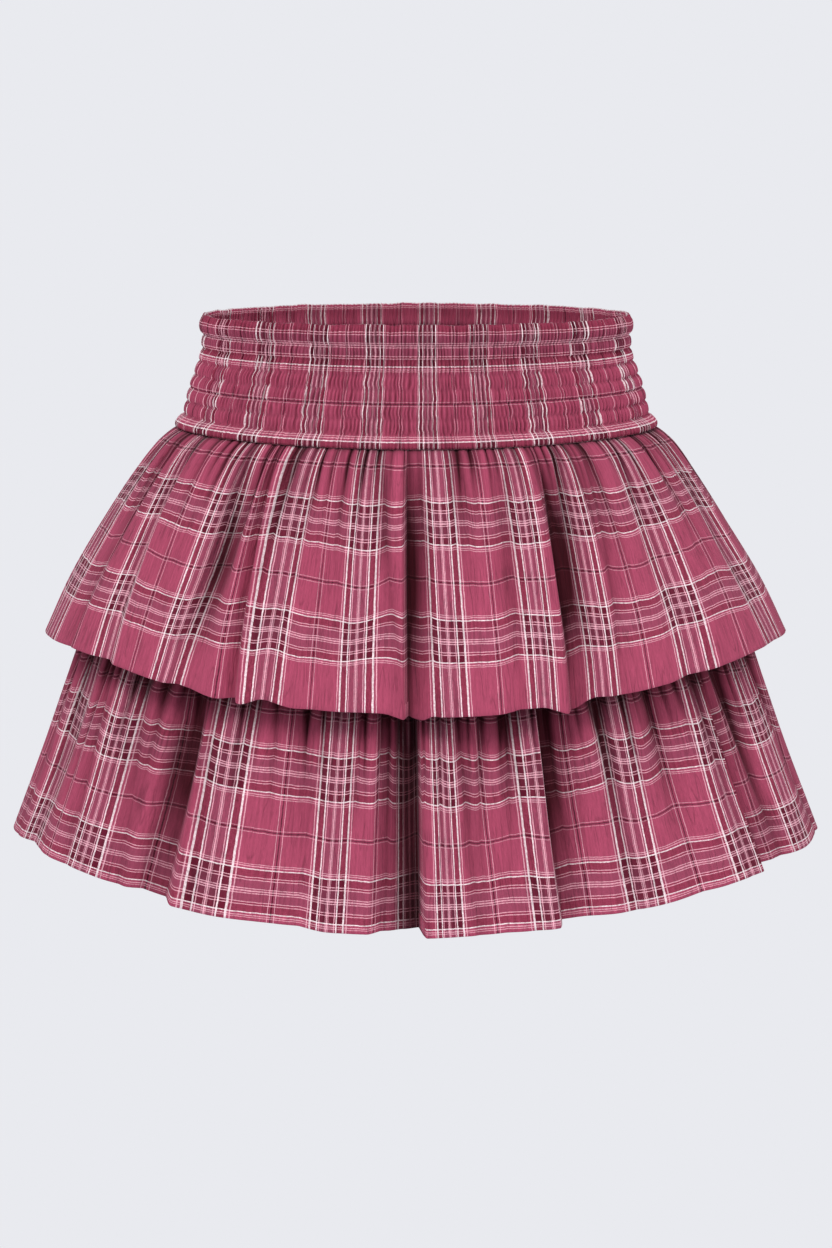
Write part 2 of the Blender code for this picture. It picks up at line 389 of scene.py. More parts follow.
def even_columns(folds, columns, bottom, half):
    """Places in the fold table that cut the folded hem into equal lengths, and its length."""
    fine = np.linspace(0.0, 1.0, 8001)
    angle, offset = fold_curve(folds, np.ones_like(fine), fine)
    points = ring_points(LEVELS[bottom], np.radians(angle), offset, half)
    reached = length_along(points)
    return np.interp(np.linspace(0.0, reached[-1], columns + 1), reached, fine), reached[-1]


for level, folds in (("upper_hem", UPPER_FRONT_FOLDS), ("lower_hem", LOWER_FRONT_FOLDS)):
    print(level, "front:", round(even_columns(folds, 8, level, "front")[1]), "mm along its folds")

# %% [markdown]
# ## Gathers
#
# A gathering thread bunches cloth into small round puffs with a narrow crease between each pair.
# A crease has one steep side and one soft side, because the puffs lean on each other. The creases
# are spaced by a wandering line, and each has its own strength and its own length, so some die out
# soon and others run on into a fold. Three sizes of them are laid over the big folds.


# %% Helper for gathers
def creases(across, down, pitch, reach, seed, lean=0.10):
    """Depth from 0 to 1 of creases that start at the seam and fade down the cloth."""
    place = across / pitch + 0.42 * wander(across / (3.1 * pitch), seed)
    place = place + lean * down / pitch * wander(across / (4.3 * pitch), seed + 1)
    number = np.rint(place)
    beside = place - number
    crisp_side = np.where(chance(number + 900, seed + 4) > 0.5, 1.0, -1.0)
    valley = (1.0 - 2.0 * np.abs(beside)) ** np.where(beside * crisp_side > 0.0, 5.0, 2.2)
    strength = 0.15 + 0.85 * chance(number + 900, seed + 2)
    length = reach * (0.45 + 1.1 * chance(number + 900, seed + 3))
    return valley * strength * np.exp(-((down / length) ** 1.6))


metre = np.linspace(0.0, 1000.0, 4000)
print("deepest crease in a metre:", round(float(creases(metre, 0.0, 14.0, 40.0, 1).max()), 2))

# %% [markdown]
# ## From the flat cut to a cloth piece
#
# These helpers hold what every piece shares. The cut is a grid primitive. Its UV map is its flat
# shape in metres, moved to where it was cut from the checked cloth, so the check lies on the piece
# before it is gathered. A second UV map lays the outside, the inside and the rims of the cloth
# apart from each other, ready for baking. Solidify gives the wall, towards the inside.


# %% Helpers for cutting, wrapping and finishing
def flat_grid(name, columns, rows):
    """The uncut cloth: a square grid, one face for each column and row."""
    bpy.ops.object.select_all(action="DESELECT")
    bpy.ops.mesh.primitive_grid_add(x_subdivisions=columns, y_subdivisions=rows, size=1.0)
    cloth = bpy.context.object
    cloth.name = name
    cloth.data.name = name
    return cloth


def grid_places(cloth, columns, rows):
    """Whole column and row numbers of the grid's points, the first row at the top."""
    flat = np.empty(len(cloth.data.vertices) * 3)
    cloth.data.vertices.foreach_get("co", flat)
    flat = flat.reshape(-1, 3)
    column = np.rint((flat[:, 0] + 0.5) * columns).astype(int)
    row = np.rint((0.5 - flat[:, 1]) * rows).astype(int)
    return column, row


def lay_check(cloth, across, down, cut_from):
    """Writes the flat cut as the piece's UV map, in metres on the checked cloth."""
    for old in list(cloth.data.uv_layers):
        cloth.data.uv_layers.remove(old)
    layer = cloth.data.uv_layers.new(name="cut")
    corner = np.empty(len(cloth.data.loops), dtype=np.int32)
    cloth.data.loops.foreach_get("vertex_index", corner)
    places = np.stack([across + cut_from[0], down + cut_from[1]], axis=-1) * MM
    layer.data.foreach_set("uv", places[corner].ravel())


def lay_for_baking(cloth, columns, rows, column, row):
    """A second map with the outside below, the inside above and the rims in strips on top."""
    mesh = cloth.data
    sheet_points = (columns + 1) * (rows + 1)
    corner = np.empty(len(mesh.loops), dtype=np.int32)
    mesh.loops.foreach_get("vertex_index", corner)
    grid_point = corner % sheet_points
    is_inner = corner >= sheet_points
    u = 0.005 + 0.99 * column[grid_point] / columns
    v = 0.005 + 0.475 * (1.0 - row[grid_point] / rows)
    face = np.repeat(np.arange(len(mesh.polygons)), 4)
    sheet_faces = columns * rows
    v = np.where((face >= sheet_faces) & (face < 2 * sheet_faces), v + 0.485, v)
    rim = face >= 2 * sheet_faces
    rows_of_face = row[grid_point].reshape(-1, 4)
    across_rim = np.repeat(rows_of_face.min(axis=1) == rows_of_face.max(axis=1), 4)
    at_bottom = np.repeat(rows_of_face.min(axis=1) == rows, 4)
    at_right = np.repeat(column[grid_point].reshape(-1, 4).min(axis=1) == columns, 4)
    strip = np.where(across_rim, np.where(at_bottom, 0.976, 0.970), np.where(at_right, 0.988, 0.982))
    v = np.where(rim, strip + 0.004 * is_inner, v)
    u = np.where(rim & ~across_rim, 0.005 + 0.99 * row[grid_point] / rows, u)
    layer = mesh.uv_layers.new(name="OFBake")
    layer.data.foreach_set("uv", np.stack([u, v], axis=-1).ravel())
    mesh.uv_layers["cut"].active_render = True
    mesh.uv_layers.active = mesh.uv_layers["cut"]


def paint_crease_shade(cloth, painted_shade):
    """Keeps how much painted shade each point gets, from 0 to 1, as the crease attribute."""
    layer = cloth.data.attributes.new("crease", "FLOAT", "POINT")
    layer.data.foreach_set("value", np.clip(painted_shade, 0.0, 1.0))


def finish_cloth(cloth, points, columns, rows, column, row):
    """Moves the grid onto its place, gives it a wall and smooths its shading."""
    cloth.data.vertices.foreach_set("co", (points * MM).ravel())
    cloth.data.update()
    thickness = cloth.modifiers.new("wall", "SOLIDIFY")
    thickness.thickness = COTTON * MM
    thickness.offset = -1.0
    bpy.context.view_layer.objects.active = cloth
    bpy.ops.object.modifier_apply(modifier=thickness.name)
    bpy.ops.object.shade_smooth()
    lay_for_baking(cloth, columns, rows, column, row)


def near_seams(angle, level, half):
    """Angles kept 0.15 mm short of the side seams, and a pinch that is 1 right beside them."""
    depth = LEVELS[level][5 if half == "back" else 4]
    edge = 90.0 - math.degrees(0.15 / depth)
    angle = np.clip(angle, -edge, edge)
    from_seam = np.radians(90.0 - np.abs(angle)) * depth
    return angle, np.exp(-((from_seam / 3.0) ** 2))


def flat_cut(cloth, width, length):
    """The size of a flat cut in metres."""
    print(cloth.name, "cut:", round(width * MM, 3), "by", round(length * MM, 4), "m")
    return width * MM, length * MM


print("cloth helpers ready")

# %% [markdown]
# ## The shirred waistband
#
# Shirring is rows of elastic thread sewn through flat cotton nearly twice as long as the waist.
# When the elastic draws in, the cotton stands up in small upright puffs between the rows, with
# sharp creases that start afresh at each row. Above the top row, the edge is turned over to the
# inside and stands as a soft header. Below the last row, a round roll covers the seam. One table
# gives the band's flare on its way down. Another says which place on the cut lies at which angle
# round the front, so that each group of stripes falls where the cutter laid it.

# %% Sizes of the waistband
CHECK_REPEAT = 72.0
BAND_COLUMNS = 960
BAND_FULLNESS = 1.75  # flat cotton for each length of finished band, at the back
BAND_CUT_FROM = {"front": (0.0, 11.3), "back": (16.5, 11.3)}
HEADER = 12.0
ROW_SPACING = 9.0
ROW_COUNT = 7
BAND_DEPTH = 74.5
TURNED_IN = 14.0
RIM = 3.0  # cotton that goes over the top edge
CREASE_PITCH = 5.0
CREASE_DEPTH = 3.2
TALL_PUFF = 3.2  # the header and the roll
SMALL_PUFF = 1.6  # between two rows of elastic
ELASTIC_ROWS = [HEADER + ROW_SPACING * i for i in range(ROW_COUNT)]
BAND_PLACES = np.concatenate(
    [
        # the turned-in edge, the rim, the header, the shirred part, the roll
        np.linspace(-TURNED_IN - RIM, -RIM, 5)[:-1],
        np.linspace(-RIM, 0.0, 5)[:-1],
        np.linspace(0.0, HEADER, 7)[:-1],
        np.linspace(ELASTIC_ROWS[0], ELASTIC_ROWS[-1], 5 * (ROW_COUNT - 1) + 1),
        np.linspace(ELASTIC_ROWS[-1], BAND_DEPTH, 6)[1:],
    ]
)
BAND_ROWS = len(BAND_PLACES) - 1
BAND_SHAPE = (
    # drop share, flare share
    (0.00, 0.00),
    (0.13, 0.015),
    (0.29, 0.05),
    (0.44, 0.22),
    (0.60, 0.45),
    (0.77, 0.63),
    (0.875, 0.72),
    (0.95, 0.90),
    (1.00, 0.96),
)
BAND_CHECK_AT = (
    # angle round the front, place across the cut (mm); stripe groups lie one repeat apart
    (-90.0, -383.0),
    (-62.0, -288.0),
    (-43.0, -216.0),
    (-25.8, -144.0),
    (-10.6, -72.0),
    (2.9, 0.0),
    (16.3, 72.0),
    (30.9, 144.0),
    (47.9, 216.0),
    (70.0, 288.0),
    (90.0, 354.0),
)
print("elastic rows at", ELASTIC_ROWS, "mm below the top edge")


# %% Shape the waistband's cotton
def band_puff(down):
    """How far the cotton stands out between its rows of elastic, in millimetres."""
    marks = [-1.0, *ELASTIC_ROWS, BAND_DEPTH + 1.5]
    swell = [TALL_PUFF] + [SMALL_PUFF] * (ROW_COUNT - 1) + [TALL_PUFF]
    row = np.clip(np.searchsorted(marks, down, side="right") - 1, 0, len(marks) - 2)
    low, high = np.array(marks)[row], np.array(marks)[row + 1]
    place = 2.0 * (down - low) / (high - low) - 1.0
    return np.array(swell)[row] * np.clip(1.0 - place**2, 0.0, 1.0) ** 0.62


def band_creases(across, down, seed):
    """Depth of the short upright creases, which start afresh at each row of elastic."""
    level = np.interp(down, ELASTIC_ROWS, np.arange(ROW_COUNT))
    level = np.where(down < HEADER, (down - HEADER) / HEADER, level)
    between = np.floor(level)
    step = level - between
    place = across / CREASE_PITCH
    spread = wander(place / 2.7 + 31.7 * between, seed)
    slant = wander(place / 1.9 + 13.1 * between, seed + 5)
    place = place + 0.45 * spread + 0.30 * (step - 0.5) * slant
    number = np.rint(place)
    strength = 0.45 + 0.55 * chance(number + 900 + 37 * between, seed + 2)
    valley = np.clip(1.0 - np.sqrt(np.sin(np.pi * place) ** 2 + 0.003), 0.0, 1.0)
    return valley**0.9 * strength * (0.45 + 0.55 * np.sin(np.pi * np.clip(step, 0.0, 1.0)) ** 0.5)


def band_round(half, share, down, seed):
    """Place across the cut and angle round the band for each share of the band's length."""
    round_half = np.radians(np.linspace(-90.0, 90.0, 4001))
    oval = ring_points(ring_at("waist_edge", "waist_seam", 0.5, 0.5), round_half, 0.0, half)
    reached = length_along(oval)
    worn_length = reached[-1]
    if half == "front":
        marks = np.array(BAND_CHECK_AT)
        marked = np.interp(np.radians(marks[:, 0]), round_half, reached) / worn_length
        across = smooth_table(marked, marks[:, 1], share)
    else:
        across = (share - 0.5) * worn_length * BAND_FULLNESS
    jog = 0.55 * wander(across / 21.0 + 17.3 * np.floor(down / ROW_SPACING), seed)
    jog = jog * np.sin(math.pi * np.clip((down - HEADER) / ROW_SPACING, 0.0, 6.0)) ** 2
    worn = share * worn_length + jog * np.clip(share * (1.0 - share) * 60.0, 0.0, 1.0)
    return across, np.degrees(np.interp(worn, reached, round_half))


def make_waistband(half, seed):
    cloth = flat_grid(f"waistband_{half}_cotton", BAND_COLUMNS, BAND_ROWS)
    column, row = grid_places(cloth, BAND_COLUMNS, BAND_ROWS)
    # the cotton comes up inside, goes over the rim and runs down outside
    flat_down = BAND_PLACES[row]
    turned = np.clip(-flat_down / RIM, 0.0, 1.0)
    down = np.where(turned < 1.0, np.maximum(flat_down, 0.0), -flat_down - RIM)
    inset = 2.6 * ease(turned)
    lift = 1.5 * np.sin(math.pi * turned)
    shape = np.array(BAND_SHAPE)
    drop_share = down / BAND_DEPTH
    flare_share = smooth_table(shape[:, 0], shape[:, 1], drop_share)
    ring = ring_at("waist_edge", "waist_seam", drop_share, flare_share)
    across, angle = band_round(half, column / BAND_COLUMNS, down, seed + 8)
    angle, pinch = near_seams(angle, "waist_seam", half)
    crease = band_creases(across, down, seed) * (1.0 - pinch)
    offset = band_puff(down) - CREASE_DEPTH * crease - 0.8 * pinch - inset
    offset = offset - 0.35 + 0.25 * wander(across / 60.0, seed + 9)
    points = ring_points(ring, np.radians(angle), offset, half)
    near_rim = np.exp(-down / 5.0)
    points[:, 2] += lift + near_rim * (0.5 * wander(across / 16.0, seed + 13) - 0.9 * crease)
    lay_check(cloth, across, -flat_down, BAND_CUT_FROM[half])
    # painted shade in the creases and on the turned-in edge, and darker along each row of elastic
    from_row = np.min(np.abs(down[:, None] - np.array(ELASTIC_ROWS)), axis=1)
    in_row = np.exp(-((from_row / 0.9) ** 2))
    paint_crease_shade(cloth, 0.95 * crease + 0.25 * in_row + 0.15 * turned)
    finish_cloth(cloth, points, BAND_COLUMNS, BAND_ROWS, column, row)
    return cloth, flat_cut(cloth, across.max() - across.min(), BAND_DEPTH + TURNED_IN + RIM)


waistbands = {half: make_waistband(half, 10 + 40 * i) for i, half in enumerate(HALVES)}

# %% [markdown]
# ## The two ruffles
#
# A ruffle is a straight strip, gathered at its top and hemmed below. Under the seam it springs out
# as a soft shoulder and then falls in a slant. Its hem is turned to the inside, which the last
# rows of the grid do: they run round the lower edge and a little way up behind the cloth. Gathers
# of three sizes lie over the big folds, deepest at the seam, and the cloth between them sags a
# little, which makes the stripes that run across it wave. As on the band, a table for each front
# says where the groups of stripes meet the hem.

# %% Sizes of the ruffles
RUFFLE_COLUMNS = {"front": 840, "back": 400}
RUFFLE_ROWS = 56
HEM_TURN = (
    # drop past or above the hem (mm), inset (mm)
    (0.35, 0.25),
    (0.50, 0.80),
    (0.20, 1.25),
    (-2.5, 1.40),
    (-8.5, 1.30),
)
HEM_ALLOWANCE = 12.0
UPPER_SHAPE = (
    # drop share, flare share
    (0.00, -0.02),
    (0.035, 0.055),
    (0.09, 0.15),
    (0.23, 0.31),
    (0.48, 0.56),
    (0.75, 0.81),
    (1.00, 1.00),
)
LOWER_SHAPE = (
    (0.00, 0.00),
    (0.04, 0.06),
    (0.12, 0.17),
    (0.32, 0.36),
    (0.64, 0.65),
    (1.00, 1.00),
)
RUFFLES = {
    # name: top level, bottom level, shape, cloth length, cut from (front), cut from (back)
    "upper_tier": ("waist_seam", "upper_hem", UPPER_SHAPE, 166.0, (0.0, -47.5), (14.0, -47.5)),
    "lower_tier": ("yoke_seam", "lower_hem", LOWER_SHAPE, 161.0, (0.0, -18.0), (-21.0, -18.0)),
}
FOLDS = {
    "upper_tier": {"front": UPPER_FRONT_FOLDS, "back": UPPER_BACK_FOLDS},
    "lower_tier": {"front": LOWER_FRONT_FOLDS, "back": LOWER_BACK_FOLDS},
}
EASED_IN = 1.02  # cloth that goes into creases too fine to model
GATHERS_FROM = {"upper_tier": 0.0, "lower_tier": 24.0}  # gathers keep their depth to here (mm)
GATHER_SIZES = (
    # pitch (mm), reach down the cloth (mm), depth (mm), lift (mm), painted shade, lean, seed step
    (11.0, 28.0, 3.8, 0.0, 1.3, 0.10, 0),
    (21.0, 52.0, 5.4, 4.0, 1.0, 0.14, 7),
    (41.0, 95.0, 6.0, 4.5, 0.9, 0.16, 11),
)
CHECK_AT_HEM = {
    # hem angle, place across the cut (mm); stripe groups lie one repeat apart
    "upper_tier": (
        (-90.0, -322.0),
        (-54.0, -216.0),
        (-40.4, -144.0),
        (-22.9, -72.0),
        (-8.9, 0.0),
        (5.3, 72.0),
        (19.0, 144.0),
        (28.7, 216.0),
        (47.0, 288.0),
        (59.8, 324.0),
        (90.0, 406.0),
    ),
    "lower_tier": (
        (-90.0, -276.0),
        (-70.5, -216.0),
        (-53.2, -144.0),
        (-29.6, -72.0),
        (-12.0, 0.0),
        (-0.8, 72.0),
        (4.5, 144.0),
        (18.5, 216.0),
        (33.0, 288.0),
        (52.9, 360.0),
        (70.0, 432.0),
        (90.0, 494.0),
    ),
}
print("ruffles:", list(RUFFLES))


# %% Shape a ruffle's cotton
def places_across(kind, half, folds, places, hem_length):
    """How far across the cut each column lies, in millimetres."""
    share = np.linspace(0.0, 1.0, len(places))
    if half == "back":
        return (share - 0.5) * hem_length * EASED_IN
    marks = np.array(CHECK_AT_HEM[kind])
    hem_angle, _ = fold_curve(folds, np.ones_like(places), places)
    return smooth_table(np.interp(marks[:, 0], hem_angle, share), marks[:, 1], share)


def all_gathers(across, below, down, seed):
    """Depth of the gathers, their lift between the puffs, and the painted shade in their creases."""
    eased = ease(np.clip(down / 22.0, 0.3, 1.0))
    depth, lift, painted_shade = 0.0, 0.0, 0.0
    for pitch, reach, full_depth, full_lift, dark, lean, seed_step in GATHER_SIZES:
        crease = creases(across, below, pitch, reach, seed + seed_step, lean)
        # the smallest are full right at the seam, and the others a little below it
        depth = depth + full_depth * crease * (eased if seed_step else 1.0)
        lift = lift + full_lift * crease
        painted_shade = painted_shade + dark * crease
    return depth, lift, painted_shade


def make_ruffle(kind, half, seed):
    top, bottom, shape, length, front_cut, back_cut = RUFFLES[kind]
    folds = FOLDS[kind][half]
    columns = RUFFLE_COLUMNS[half]
    cloth = flat_grid(f"{kind}_{half}_cotton", columns, RUFFLE_ROWS)
    column, row = grid_places(cloth, columns, RUFFLE_ROWS)
    outside_rows = RUFFLE_ROWS - len(HEM_TURN)
    turn = np.array([(0.0, 0.0), *HEM_TURN])
    past = np.clip(row - outside_rows, 0, len(HEM_TURN))
    share_down = np.clip(row / outside_rows, 0.0, 1.0) + turn[past, 0] / length
    inset = turn[past, 1]
    table = np.array(shape)
    down_here = np.minimum(share_down, 1.0)
    flare_share = smooth_table(table[:, 0], table[:, 1], down_here)
    ring = ring_at(top, bottom, share_down, flare_share)
    places, hem_length = even_columns(folds, columns, bottom, half)
    cut_line = places_across(kind, half, folds, places, hem_length)
    across = cut_line[column]
    down = down_here * length
    angle, offset = fold_curve(folds, down_here, places[column])
    angle, pinch = near_seams(angle, bottom, half)
    below = np.maximum(down - GATHERS_FROM[kind], 0.0)
    gathers, lift, painted_shade = all_gathers(across, below, down, seed)
    soft = wander(across / 46.0 + down / 160.0, seed + 21) * ease(down_here)
    # painted shade, darkest on the floor of each trough of the big folds
    deep_fold_shade = np.clip((1.0 - offset) / 11.5, 0.0, 1.0) ** 2.0
    hang = 0.14 * offset * down_here
    offset = offset + 1.3 + (0.9 * soft - gathers) * (1.0 - pinch) - 0.9 * pinch - inset
    sink = 0.6 * (1.0 - np.clip(down / 4.0, 0.0, 1.0)) + hang
    sink = sink + 0.8 * wander(across / 70.0, seed + 31) * down_here**3
    sway = 2.8 * wander(across / 30.0 + down / 90.0, seed + 41) - lift
    sink = sink + sway * np.sin(math.pi * down_here) * (1.0 - pinch)
    if half == "front":
        lifts = np.array(HEM_LIFTS[kind])
        sink = sink - smooth_table(lifts[:, 0], lifts[:, 1], angle) * down_here**2
    points = ring_points(ring, np.radians(angle), offset, half, sink)
    cut_from = back_cut if half == "back" else front_cut
    round_edge = 1.0 + 2.0 * np.minimum(past, 3) / 3
    up_inside = np.maximum(-turn[past, 0], 0.0)
    flat_down = down + np.where(past > 0, round_edge + up_inside, 0.0)
    lay_check(cloth, across, length - flat_down, cut_from)
    painted_shade = painted_shade + deep_fold_shade * (1.0 - pinch)
    if kind == "lower_tier":
        # painted shadow of the upper ruffle on the top of the lower one
        painted_shade = painted_shade + 0.45 * np.clip(1.0 - (down - 32.0) / 16.0, 0.0, 1.0) ** 2
    paint_crease_shade(cloth, painted_shade)
    finish_cloth(cloth, points, columns, RUFFLE_ROWS, column, row)
    return cloth, flat_cut(cloth, cut_line[-1] - cut_line[0], length + HEM_ALLOWANCE)


ruffles = {
    (kind, half): make_ruffle(kind, half, 100 + 200 * i + 70 * j)
    for i, kind in enumerate(RUFFLES)
    for j, half in enumerate(HALVES)
}

# %% [markdown]
# ## The hidden yoke
#
# A short plain underskirt hangs inside the upper ruffle and carries the lower one. It only shows
# from inside, so it is a smooth strip with slight gathers at its top. Its upper edge is tucked up
# behind the band's roll, which closes the seam.

# %% Sizes and shape of the yoke
YOKE_COLUMNS = 160
YOKE_ROWS = 24
YOKE_SHAPE = (
    # drop share, flare share, inset
    (0.00, 0.00, 2.9),
    (0.28, 0.20, 3.2),
    (0.60, 0.56, 1.0),
    (1.00, 1.00, 0.6),
)
YOKE_LENGTH = 136.0
TUCKED_UP = 6.5


def make_yoke(half, seed):
    cloth = flat_grid(f"yoke_{half}_cotton", YOKE_COLUMNS, YOKE_ROWS)
    column, row = grid_places(cloth, YOKE_COLUMNS, YOKE_ROWS)
    share_down = row / YOKE_ROWS
    table = np.array(YOKE_SHAPE)
    flare_share = smooth_table(table[:, 0], table[:, 1], share_down)
    inset = smooth_table(table[:, 0], table[:, 2], share_down)
    ring = ring_at("waist_seam", "yoke_seam", share_down, flare_share)
    places, hem_length = even_columns(PLAIN_FOLDS, YOKE_COLUMNS, "yoke_seam", half)
    across = (column / YOKE_COLUMNS - 0.5) * hem_length
    angle, _ = fold_curve(PLAIN_FOLDS, share_down, places[column])
    angle, pinch = near_seams(angle, "yoke_seam", half)
    gathers = 1.1 * creases(across, share_down * YOKE_LENGTH, 26.0, 60.0, seed)
    offset = -inset - gathers * (1.0 - pinch)
    sink = -TUCKED_UP * (1.0 - np.clip(share_down * YOKE_ROWS, 0.0, 1.0))
    points = ring_points(ring, np.radians(angle), offset, half, sink)
    lay_check(cloth, across, (1.0 - share_down) * YOKE_LENGTH, (0.0, 10.0))
    # painted shade in the yoke's gathers
    paint_crease_shade(cloth, gathers * 0.3)
    finish_cloth(cloth, points, YOKE_COLUMNS, YOKE_ROWS, column, row)
    return cloth, flat_cut(cloth, hem_length, YOKE_LENGTH)


yokes = {half: make_yoke(half, 600 + 40 * i) for i, half in enumerate(HALVES)}

# %% [markdown]
# ## The check, charted like a weaver's draft
#
# A check is woven: the same order of coloured threads runs down the cloth, the warp, and across
# it, the weft, and where they cross, both show. So each direction gets its own chart of stripes,
# from the middle of a group of stripes out to halfway to the next group. The chart is mirrored
# about the middle, and it repeats. A colour ramp holds each chart, and a ping-pong node does the
# mirroring and repeating.

# %% Thread colours and stripe charts
THREADS = {
    "rose": (0.415, 0.069, 0.132),
    "maroon": (0.160, 0.006, 0.022),
    "heather": (0.230, 0.055, 0.095),
    "white": (1.000, 0.820, 0.850),
    "pale": (0.950, 0.490, 0.580),
    "ink": (0.010, 0.002, 0.006),
}
WARP_CHART = (
    # from (mm), thread
    (0.0, "pale"),
    (0.3, "heather"),
    (0.8, "pale"),
    (1.1, "heather"),
    (4.7, "pale"),
    (5.3, "heather"),
    (6.1, "white"),
    (6.9, "maroon"),
    (10.9, "white"),
    (12.1, "rose"),
    (13.4, "pale"),
    (14.1, "rose"),
    (33.8, "pale"),
    (34.2, "rose"),
    (35.5, "ink"),
)
WEFT_CHART = (
    (0.0, "pale"),
    (0.3, "heather"),
    (1.1, "pale"),
    (1.6, "heather"),
    (6.4, "pale"),
    (7.0, "maroon"),
    (7.9, "pale"),
    (8.5, "maroon"),
    (12.7, "white"),
    (13.5, "rose"),
    (14.6, "pale"),
    (15.1, "rose"),
    (15.8, "pale"),
    (16.3, "rose"),
    (34.5, "pale"),
    (34.8, "rose"),
    (35.5, "ink"),
)
DARK_SQUARE = (0.135, 0.008, 0.026)  # where two dark threads cross
print("stripes in half a repeat:", len(WARP_CHART), "down,", len(WEFT_CHART), "across")


# %% Helpers for node groups
def new_group(name, inputs, outputs):
    """A shader node group with named sockets: (name, kind) or (name, kind, value)."""
    group = bpy.data.node_groups.new(name, "ShaderNodeTree")
    for label, kind, *value in inputs:
        socket = group.interface.new_socket(label, in_out="INPUT", socket_type=kind)
        if value:
            socket.default_value = value[0]
    for label, kind in outputs:
        group.interface.new_socket(label, in_out="OUTPUT", socket_type=kind)
    return group, group.nodes.new("NodeGroupInput"), group.nodes.new("NodeGroupOutput")


def math_node(tree, operation, a, b=None, c=1.0, clamp=False):
    """A math node. Each of a, b and c is a number or an output to link."""
    node = tree.nodes.new("ShaderNodeMath")
    node.operation = operation
    node.use_clamp = clamp
    for socket, value in zip(node.inputs, (a, b, c)):
        if value is None:
            continue
        if isinstance(value, (int, float)):
            socket.default_value = value
        else:
            tree.links.new(value, socket)
    return node.outputs[0]


def colour_mix(tree, factor, a, b, blend="MIX"):
    """A colour mix. Each of a and b is a colour or an output to link."""
    node = tree.nodes.new("ShaderNodeMix")
    node.data_type = "RGBA"
    node.blend_type = blend
    sockets = (node.inputs["Factor"], node.inputs[6], node.inputs[7])
    for socket, value in zip(sockets, (factor, a, b)):
        if isinstance(value, (int, float)):
            socket.default_value = value
        elif isinstance(value, tuple):
            socket.default_value = (*value, 1.0)
        else:
            tree.links.new(value, socket)
    return node.outputs[2]


def noise_at(tree, vector, stretch, detail=2.0):
    """Noise that is stretched along the threads: a bigger number makes finer detail."""
    mapping = tree.nodes.new("ShaderNodeMapping")
    mapping.inputs["Scale"].default_value = stretch
    tree.links.new(vector, mapping.inputs["Vector"])
    noise = tree.nodes.new("ShaderNodeTexNoise")
    noise.inputs["Scale"].default_value = 1.0
    noise.inputs["Detail"].default_value = detail
    tree.links.new(mapping.outputs[0], noise.inputs["Vector"])
    return noise.outputs["Fac"]


def chart_ramp(tree, place, chart):
    """A colour ramp that holds a chart of stripes over half a repeat."""
    ramp = tree.nodes.new("ShaderNodeValToRGB")
    ramp.color_ramp.interpolation = "CONSTANT"
    stops = ramp.color_ramp.elements
    while len(stops) < len(chart):
        stops.new(1.0)
    for stop, (start, thread) in zip(stops, chart):
        stop.position = start / (CHECK_REPEAT / 2.0)
        stop.color = (*THREADS[thread], 1.0)
    tree.links.new(place, ramp.inputs[0])
    return ramp.outputs[0]


print("node helpers ready")

# %% [markdown]
# ## The woven check as a node group
#
# Every cotton material needs the same check, so it is built once, as a group that puts out a
# colour, a height and a crinkle. The stripes wobble by a tenth of a millimetre or so, because the
# threads of soft cotton do. Fine noise, stretched along the threads, decides whether the warp or
# the weft lies on top. Three things happen where threads meet. Two dark ones make a darker square.
# A near-black one shows through whatever crosses it. A pale one is thicker than the rest, so it
# covers more, in dots that look stitched rather than ruled. Below the border height, the weft is
# plain rose, which gives the upper ruffle its plain hem.


# %% Build the woven check
def crinkled(group, place):
    """The upright crinkle of washed cotton, with a few sharper ridges across it."""
    crinkle = noise_at(group, place, (620.0, 42.0, 1.0), detail=3.0)
    ridges = noise_at(group, place, (210.0, 26.0, 1.0), detail=1.0)
    ridges = math_node(group, "ABSOLUTE", math_node(group, "SUBTRACT", ridges, 0.5))
    ridges = math_node(group, "MULTIPLY_ADD", ridges, -30.0, clamp=True)
    sparse = noise_at(group, place, (90.0, 45.0, 1.0), detail=0.0)
    sparse = math_node(group, "SUBTRACT", sparse, 0.42)
    sparse = math_node(group, "MULTIPLY", sparse, 6.0, clamp=True)
    ridges = math_node(group, "MULTIPLY", ridges, sparse)
    return math_node(group, "SUBTRACT", crinkle, math_node(group, "MULTIPLY", ridges, 0.3))


def red_green(group, colour):
    """The red and green parts of a colour, which tell dark threads and pale ones from rose."""
    parts = group.nodes.new("ShaderNodeSeparateColor")
    group.links.new(colour, parts.inputs[0])
    return parts.outputs[0], parts.outputs[1]


def where_threads_meet(group, place, warp, weft, over):
    """The colour of the cloth from its two sets of threads and which of them lies on top."""
    colour = colour_mix(group, over, warp, weft)
    darkness = []
    for threads in (warp, weft):
        red, _ = red_green(group, threads)
        dark = math_node(group, "MULTIPLY_ADD", red, -1.0 / THREADS["rose"][0], clamp=True)
        darkness.append(dark)
    crossing = math_node(group, "MULTIPLY", *darkness)
    crossing = math_node(group, "MULTIPLY", crossing, 2.7, clamp=True)
    colour = colour_mix(group, crossing, colour, DARK_SQUARE)
    inky = math_node(group, "GREATER_THAN", math_node(group, "MAXIMUM", *darkness), 0.9)
    colour = colour_mix(group, math_node(group, "MULTIPLY", inky, 0.32), colour, THREADS["ink"])
    lighter = colour_mix(group, 1.0, warp, weft, "LIGHTEN")
    _, paleness = red_green(group, lighter)
    stitch = noise_at(group, place, (650.0, 650.0, 1.0), detail=1.0)
    stitch = math_node(group, "MULTIPLY_ADD", stitch, 3.0, -1.0, clamp=True)
    stitch = math_node(group, "MULTIPLY_ADD", stitch, 1.0, 0.22)
    return colour_mix(group, math_node(group, "MULTIPLY", paleness, stitch), colour, lighter)


